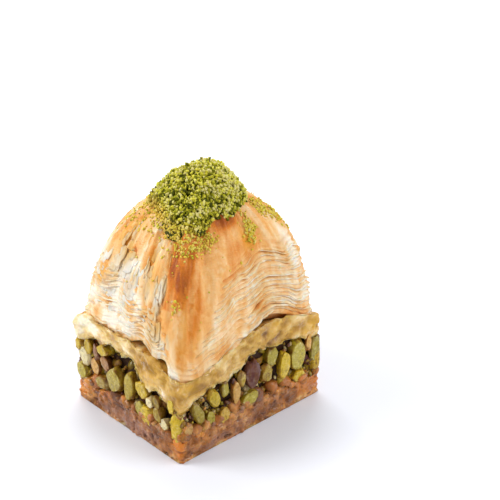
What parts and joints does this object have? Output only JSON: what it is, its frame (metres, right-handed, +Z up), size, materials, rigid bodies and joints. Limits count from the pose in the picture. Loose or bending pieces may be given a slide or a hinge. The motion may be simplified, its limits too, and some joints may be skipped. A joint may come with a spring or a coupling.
{
  "type": "baklava piece",
  "caption": "Square-cut piece of layered pistachio pastry with a puffed flaky dome and a heap of ground nuts, food that rests flat on its soaked base.",
  "frame": {"origin": "middle of the flat underside of the base", "axes": "+Z up; the front cut face looks along -Y and the right one along +X; the two pairs of cuts cross at 85 degrees, so the side faces lean 5 degrees off the Y axis"},
  "size_m": [0.0454, 0.0375, 0.0542],
  "materials": {
    "base_pastry": "syrup-soaked baked pastry, thin pressed leaves",
    "pistachio_filling": "glossy chopped pistachio kernels, some with dark skin",
    "soaked_layer": "soft, yellow, syrup-soaked leaves with a wet edge",
    "flaky_dome": "crisp cream leaves, browned orange on the top and the ridges, lightly glazed",
    "ground_pistachio": "dry ground pistachio crumbs"
  },
  "bodies": {
    "root": {"base_pastry": "base_pastry", "pistachio_filling": "pistachio_filling", "soaked_layer": "soaked_layer", "flaky_dome": "flaky_dome", "ground_pistachio": "ground_pistachio"}
  },
  "joints": []
}
